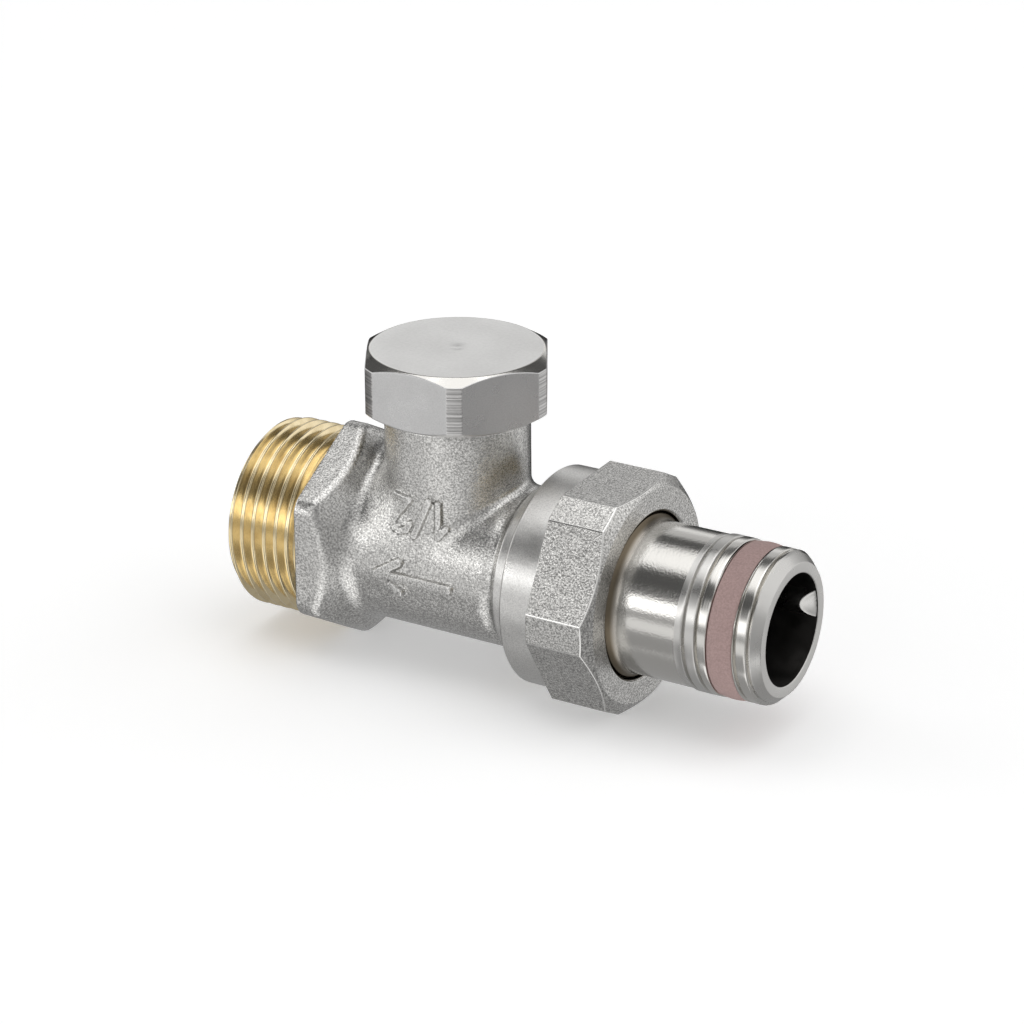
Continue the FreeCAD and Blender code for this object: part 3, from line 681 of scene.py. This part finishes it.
def make_cap():
    half_flats, face, bore, ceiling = 11.9, 11.6, 10.05, 2.3
    rim, face_middle, dimple, dimple_depth = 11.25, 4.0, 1.3, 0.2
    corner = (CAP_HIGH[0] - CAP_LOW[0]) / 2
    bottom, top = CAP_LOW[2], CAP_HIGH[2]
    normals = np.radians(np.arange(6) * 60 + 30)
    angles = polygon_angles(normals, math.acos(half_flats / corner), 180)
    hexagon = flats_radius(angles, normals, half_flats)
    outer = soft_least(hexagon, np.full_like(hexagon, corner), 0.06)
    drop = (outer - face) * math.tan(math.radians(30.7))
    profiles = profiles_of([
        (bottom, bore, 0.1), (bottom, face, 0.15), (bottom + drop, outer, 0.12), (top - drop, outer, 0.12),
        (top, face, 0.12), (top, rim, 0), (top, face_middle, 0), (top, dimple, 0.9),
        (top - dimple_depth, 0, 0), (top - ceiling, 0, 0), (top - ceiling, bore, 0.3),
    ], angles)
    side, chamfer_and_rim, top_face = slice(12, 17), slice(19, 24), slice(24, 33)
    turned_corner = (hexagon > corner - 0.03)[:, None]
    zones = np.zeros(profiles.shape[:2], dtype=int)
    zones[:, side] = np.where(turned_corner, 1, 0)
    zones[:, chamfer_and_rim] = 3
    # the top face takes the lighter colour, painted light
    zones[:, top_face] = 2
    turned("hex_cap", angles, profiles, "z", (NECK_X, 0, 0), zones, [CAP, CAP_LINES, CAP_TOP_PAINTED_LIGHT, BRIGHT],
           "cap", ["cap"])


make_cap()


# Union nut: hexagon with its corners cut flat, a round skirt behind it and a chamfer before it

NUT_LIP_DEPTH = 3.2


def make_nut():
    half_flats, half_cuts, skirt, face = 15.0, 16.14, 14.85, 14.65
    bore, relief, thread = 11.35, 12.1, 13.27
    sixth, turn = math.pi / 3, math.radians(2)
    back, front = NUT_LOW[0], NUT_HIGH[0]
    hexagon, lip, thread_end = back + 4.9, front - NUT_LIP_DEPTH, front - 6.2
    flats = np.arange(6) * sixth + sixth / 2 + turn
    cuts = np.arange(6) * sixth + turn
    flat_reach = (half_cuts - half_flats * math.cos(sixth / 2)) / math.sin(sixth / 2)
    flat_end = math.atan(flat_reach / half_flats)
    angles = polygon_angles(flats, flat_end, 180)
    flat_radius, cut_radius = flats_radius(angles, flats, half_flats), flats_radius(angles, cuts, half_cuts)
    outer = soft_least(flat_radius, cut_radius, 0.05)
    drop = (outer - face) * math.tan(math.radians(34.6))
    profiles = profiles_of([
        (back, thread, 0.1), (back, skirt - 0.3, 0.12), (back + 0.3, skirt, 0.12), (hexagon, skirt, 0.06),
        (hexagon, outer, 0.10), (front - drop, outer, 0.12), (front, face, 0.10), (front, bore + 0.25, 0.08),
        (front - 0.25, bore, 0.08), (lip, bore, 0), (lip, relief, 0), (thread_end, relief, 0),
        (thread_end, thread, 0),
    ], angles)
    skirt_faces, ridge, front_edge, inside = slice(0, 19), slice(20, 25), slice(25, 29), slice(-4, None)
    zones = np.zeros(profiles.shape[:2], dtype=int)
    zones[:, inside] = 1
    zones[:, skirt_faces] = 2
    zones[:, front_edge] = 3
    ridges = np.concatenate([flats - flat_end, flats + flat_end])
    past = np.angle(np.exp(1j * (angles[:, None] - ridges)))
    on_ridge = np.any((past > -1.5 * RIDGE_STEP) & (past < 0.5 * RIDGE_STEP), axis=1)
    zones[on_ridge, ridge] = 3
    turned("nut_shell", angles, profiles, "x", (0, 0, 0), zones, [NUT, BARE_BRASS, COLLAR, EDGE],
           "nut", ["union_nut"])


make_nut()


# Tail

TAIL_BARREL, TAIL_CREST, TAIL_BORE = 10.28, 10.48, 7.5
TAIL_MARKS = (0, 0.2, 0.33, 0.36, 0.41, 0.455, 0.48, 0.52, 0.545, 0.59, 0.64, 0.67, 0.8)
TAIL_FORM = ([0, 0.33, 0.36, 0.455, 0.48, 0.5], [1, 1, 0.95, 0.12, 0, 0])


def tail_thread(start, end, angles):
    """Thread that fades in from the barrel, a little proud of it, and tapers; x is from the cap's axis."""
    first_crest, fade_in, fade_length, step_at, step_length = 39.88, 38.7, 0.9, 39.2, 0.5
    depth, proud, taper_start, taper_length, taper = 0.62, 0.20, 42, 9, 32
    along, away = thread_stations(start, end, PIPE_PITCH, NECK_X + first_crest, TAIL_MARKS, angles)
    x = along - NECK_X
    fade = smoothstep((x - fade_in) / fade_length)
    step = proud * smoothstep((x - step_at) / step_length)
    narrower = np.clip(x - taper_start, 0, taper_length) / taper
    radius = TAIL_BARREL + step - narrower - depth * fade * (1 - np.interp(away, *TAIL_FORM))
    return np.stack([along, radius], axis=2)


def tail_front():
    """Profile points of the nose, the sealing cone, the collar and the soft shoulder before the barrel."""
    nose, face = TAIL_LOW[0], NUT_HIGH[0]
    collar = face - NUT_LIP_DEPTH - 0.05
    collar_back, collar_radius, sleeve, edge = collar - 2.6, 12.0, 11.04, 0.1
    start, length, rise = face - 0.4, 1.5, sleeve - TAIL_BARREL
    shoulder = [(start + length * t, TAIL_BARREL + rise * (1 - t) ** 2)
                for t in (0, 0.08, 0.18, 0.3, 0.44, 0.6, 0.78, 1)]
    return [
        (nose, TAIL_BORE), (nose, 8.5), (nose + 0.05, 8.58), (collar_back - 0.05, 11.0), (collar_back, 11.1),
        (collar_back, collar_radius - edge), (collar_back + edge, collar_radius),
        (collar - edge, collar_radius), (collar, collar_radius - edge), (collar, 11.1),
        (collar + 0.06, sleeve), *shoulder, (face + 2.0, TAIL_BARREL),
    ]


def make_tail():
    angles = even_angles(240)
    end = TAIL_HIGH[0]
    groove_start, groove_end, groove_floor = SEAL_LOW[0] - 0.03, SEAL_HIGH[0] + 0.03, 8.88
    chamfer, end_radius, gap = 1.4, 8.95, 0.06
    left = tail_thread(NECK_X + 38.5, groove_start - gap, angles)
    groove = [
        (groove_start, TAIL_CREST - 0.12), (groove_start, groove_floor), (groove_end, groove_floor),
        (groove_end, TAIL_CREST - 0.22),
    ]
    right = tail_thread(groove_end + gap, end, angles)
    limit = np.interp(right[:, :, 0], [end - chamfer, end], [TAIL_CREST - 0.2, end_radius])
    right[:, :, 1] = np.minimum(right[:, :, 1], limit)
    end_face = [(end, end_radius - 0.05), (end, TAIL_BORE + 0.12), (end - 0.04, TAIL_BORE + 0.04)]
    bore = [(end - 0.12, TAIL_BORE), (end - 8, TAIL_BORE), (end - 20, TAIL_BORE)]
    # numbers of the materials below: barrel (painted shade by the nut), satin, bore (painted shade) and
    # glossy thread
    parts = [
        (fixed_profiles(tail_front(), angles), 0, 0), (left, 3, len(TAIL_MARKS)),
        (fixed_profiles(groove, angles), 3, 0), (right, 3, len(TAIL_MARKS)),
        (fixed_profiles(end_face, angles), 1, 0), (fixed_profiles(bore, angles), 2, 0),
    ]
    zones, seam = [], []
    for part, zone, shift in parts:
        count, start = part.shape[1], len(seam)
        zones += [zone] * count
        seam += [start + min(index + shift, count - 1) for index in range(count)]
    profiles = np.concatenate([part for part, _, _ in parts], axis=1)
    along = profiles[:, :, 0]
    first_ridge = along < NECK_X + 40.6 + PIPE_PITCH * angles[:, None] / (2 * math.pi)
    satin = (np.array(zones) == 3) & ((along > end - chamfer + 0.02) | first_ridge)
    turned("tail_tube", angles, profiles, "x", (0, 0, 0), np.where(satin, 1, zones),
           [BARREL, TURNED_SATIN, BORE_PAINTED_SHADE, GLOSSY], "tail", ["tailpiece"], seam)


def make_lug(name, turn):
    """Driving lug on the bore's wall: part of a rod, with a coned lead-in at its front."""
    rise, rod, root, lead_slope = 1.4, 2.25, 7.9, math.tan(math.radians(38))
    start, end = TAIL_HIGH[0] - 6.0, TAIL_HIGH[0] - 0.25
    middle = TAIL_BORE - rise + rod
    half = math.acos((middle ** 2 + rod ** 2 - root ** 2) / (2 * middle * rod))
    around = np.linspace(-half, half, 33)
    outline = np.stack([middle - rod * np.cos(around), rod * np.sin(around)], axis=1)
    centre = np.array([root, 0.0])
    cosine, sine = math.cos(turn), math.sin(turn)
    # each ring: its share of the outline, its drop behind the lead-in, and its place where that is plain
    rings = [(1.0, 0.0, start), (1.0, 0.16, None), (0.985, 0.05, None)]
    rings += [(share, 0.0, None) for share in (0.95, 0.8, 0.6, 0.4, 0.2)]
    points = []
    for share, drop, plain in rings:
        for out, over in centre + (outline - centre) * share:
            along = plain
            if along is None:
                along = end - max(TAIL_BORE - math.hypot(out, over), 0) / lead_slope - drop
            points.append((along, out * cosine - over * sine, out * sine + over * cosine))
    points += [(along, root * cosine, root * sine) for along in (start, end)]
    count, last = len(outline), (len(rings) - 1) * len(outline)
    back_point, front_point = len(points) - 2, len(points) - 1
    faces = []
    for index in range(count):
        after = (index + 1) % count
        for ring in range(0, last, count):
            faces.append((ring + index, ring + after, ring + count + after, ring + count + index))
        faces.append((after, index, back_point))
        faces.append((last + index, last + after, front_point))
    finish_piece(name, points, faces, [TURNED_SATIN], None, "tail", [])


def make_seal():
    """Sealing ring in the tail's groove, with a low crown."""
    start, end = SEAL_LOW[0], SEAL_HIGH[0]
    steps, foot = 6, 8.92
    angles = even_angles(200)
    profiles = profiles_of([
        (start, foot, 0.05), (start, 10.27, 0.22), ((start + end) / 2, 10.50, 1.2), (end, 10.18, 0.22),
        (end, foot, 0.05),
    ], angles, steps)
    turned("ring_seal", angles, profiles, "x", (0, 0, 0), 0, [PINK], "tail",
           ["tail_seal_ring"])


make_tail()
make_lug("driving_lug_back", math.radians(6.5))
make_lug("driving_lug_front", math.radians(186.5))
make_seal()

# Inner pieces keep their CAD shapes
for node, material in {
    "bonnet_insert": INNER_BRASS, "spindle": INNER_BRASS, "retaining_ring": SPRING, "cap_seal": BLACK,
    "bonnet_o_ring": BLACK, "spindle_o_ring": BLACK, "seat_o_ring": BLACK,
}.items():
    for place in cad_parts[node].material_slots:
        place.material = material


# Floor, camera and light

def make_floor():
    """Pale floor that glows a little, so that it stays as light as the backdrop."""
    reach, height = 3.0, -0.01530
    mesh = bpy.data.meshes.new("studio_floor")
    corners = [(reach * x, reach * y, height) for x, y in ((-1, -1), (1, -1), (1, 1), (-1, 1))]
    mesh.from_pydata(corners, [], [(0, 1, 2, 3)])
    shader = Shader("pale_floor", (0.95, 0.95, 0.95), 0.0, 0.8)
    shader.set(shader.surface, "Emission Color", (1, 1, 1))
    shader.set(shader.surface, "Emission Strength", 0.24)
    mesh.materials.append(shader.material)
    floor = bpy.data.objects.new("studio_floor", mesh)
    bpy.context.scene.collection.objects.link(floor)
    floor.visible_glossy = False


def make_camera():
    """Camera at the photograph's angle, with the pixel where the cap's axis meets the pipe's."""
    azimuth, elevation, roll = math.radians(31.0), math.radians(22.9), math.radians(-0.18)
    distance, focal_pixels, frame_pixels, sensor = 472.5, 3500.0, 1024, 36
    axes_cross = (458.87, 550.45)
    level = math.cos(elevation)
    back = Vector((math.sin(azimuth) * level, -math.cos(azimuth) * level, math.sin(elevation)))
    right = Vector((math.cos(azimuth), math.sin(azimuth), 0))
    up = back.cross(right)
    side = right * math.cos(roll) + up * math.sin(roll)
    over = up * math.cos(roll) - right * math.sin(roll)
    shift_x = (axes_cross[0] - frame_pixels / 2) * distance / focal_pixels
    shift_y = -(axes_cross[1] - frame_pixels / 2) * distance / focal_pixels
    eye = back * distance - side * shift_x - over * shift_y + Vector((NECK_X, 0, 0))
    data = bpy.data.cameras.new("camera")
    data.sensor_width = sensor
    data.lens = focal_pixels / frame_pixels * sensor
    data.clip_start, data.clip_end = 0.01, 20
    camera = bpy.data.objects.new("camera", data)
    camera.matrix_world = Matrix((
        (side.x, over.x, back.x, eye.x * MM), (side.y, over.y, back.y, eye.y * MM),
        (side.z, over.z, back.z, eye.z * MM), (0, 0, 0, 1)))
    bpy.context.scene.collection.objects.link(camera)
    bpy.context.scene.camera = camera


def make_overhead_light():
    """Rectangular area light straight above the cap, in metres."""
    height, width, depth = 1.0, 0.58, 0.58
    data = bpy.data.lights.new("overhead_softbox", "AREA")
    data.shape, data.size, data.size_y = "RECTANGLE", width, depth
    data.energy = 1.35 * math.pi * width * depth
    light = bpy.data.objects.new("overhead_softbox", data)
    light.location = (NECK_X * MM, 0, height)
    bpy.context.scene.collection.objects.link(light)


# Studio round the object: soft brightness by elevation in degrees, and panels of more light in front of it,
# each with its azimuth (0 is +X, 90 is +Y), half its width, its lowest and highest elevation and the light
# that it adds or takes
BACKDROP = [
    (-90, 0.36), (-50, 0.36), (-45, 0.36), (-8, 0.38), (4, 0.50), (20, 0.46), (26, 0.10), (56, 0.10),
    (61, 1.35), (73, 1.35), (75, 0),
]
PANELS = {
    "front_floor": (272, 40, -90, -50, 0.95),
    "front_low": (292, 42, -50, -25, 0.76),
    "left_low": (247, 45, -25, -8, 0.55),
    "back_right": (45, 25, -25, 20, 0.55),
    "left_wall": (213, 62, 4, 20, 0.85),
    "left_key": (225, 24, 4, 20, 0.75),
    "right_wall": (22, 47, 20, 58, 0.84),
    "left_high": (190, 16, 20, 58, 1.00),
    "front_high": (270, 24, 20, 38, 0.84),
    "front_right_high": (300, 35, 38, 58, 0.40),
    "back_left": (116, 20, 13, 40, 0.52),
    "dark_flag": (134, 42, -30, 8, -0.36),
    "dark_wall": (145, 10, 6, 24, -0.34),
}


def make_world():
    """Soft studio surroundings: the backdrop and its panels of light."""
    soft_azimuth, soft_elevation, headroom = 5, 2, 2
    world = bpy.data.worlds.new("studio")
    bpy.context.scene.world = world
    world.use_nodes = True
    nodes, links = world.node_tree.nodes, world.node_tree.links

    def fill(node, values):
        for socket, value in zip(node.inputs, values):
            if isinstance(value, bpy.types.NodeSocket):
                links.new(value, socket)
            else:
                socket.default_value = value
        return node.outputs[0]

    def math_node(operation, *values):
        node = nodes.new("ShaderNodeMath")
        node.operation = operation
        return fill(node, values)

    def soft_step(value, low, high):
        return fill(nodes.new("ShaderNodeMapRange"), (value, low, high, 0.0, 1.0))

    parts = nodes.new("ShaderNodeSeparateXYZ")
    links.new(nodes.new("ShaderNodeTexCoord").outputs["Generated"], parts.inputs[0])
    x, y, z = parts.outputs
    level = math_node("SQRT", math_node("SUBTRACT", 1, math_node("MULTIPLY", z, z)))
    level = math_node("MAXIMUM", level, 0.001)
    elevation = math_node("MULTIPLY", math_node("ARCSINE", z), 180 / math.pi)
    ramp = nodes.new("ShaderNodeValToRGB")
    links.new(math_node("MULTIPLY_ADD", elevation, 1 / 180, 0.5), ramp.inputs[0])
    stops = ramp.color_ramp.elements
    for place, strength in BACKDROP:
        stops.new((place + 90) / 180).color = (*[strength / headroom] * 3, 1)
    stops.remove(stops[0])
    stops.remove(stops[len(stops) - 1])
    light = math_node("MULTIPLY", ramp.outputs[0], headroom)
    for azimuth, half, low, high, strength in PANELS.values():
        towards = math.radians(azimuth)
        facing_x = math_node("MULTIPLY", x, math.cos(towards))
        facing_y = math_node("MULTIPLY", y, math.sin(towards))
        facing = math_node("DIVIDE", math_node("ADD", facing_x, facing_y), level)
        widest, narrowest = math.radians(half + soft_azimuth), math.radians(max(half - soft_azimuth, 0))
        width = soft_step(facing, math.cos(widest), math.cos(narrowest))
        above_low = soft_step(elevation, low - soft_elevation, low + soft_elevation)
        above_high = soft_step(elevation, high - soft_elevation, high + soft_elevation)
        panel = math_node("MULTIPLY", width, math_node("SUBTRACT", above_low, above_high))
        light = math_node("ADD", light, math_node("MULTIPLY", panel, strength))
    background = nodes["Background"]
    background.inputs["Color"].default_value = (1, 1, 1, 1)
    links.new(math_node("MAXIMUM", light, 0), background.inputs["Strength"])


make_floor()
make_camera()
make_world()
make_overhead_light()
bpy.context.scene.view_settings.view_transform = "Standard"
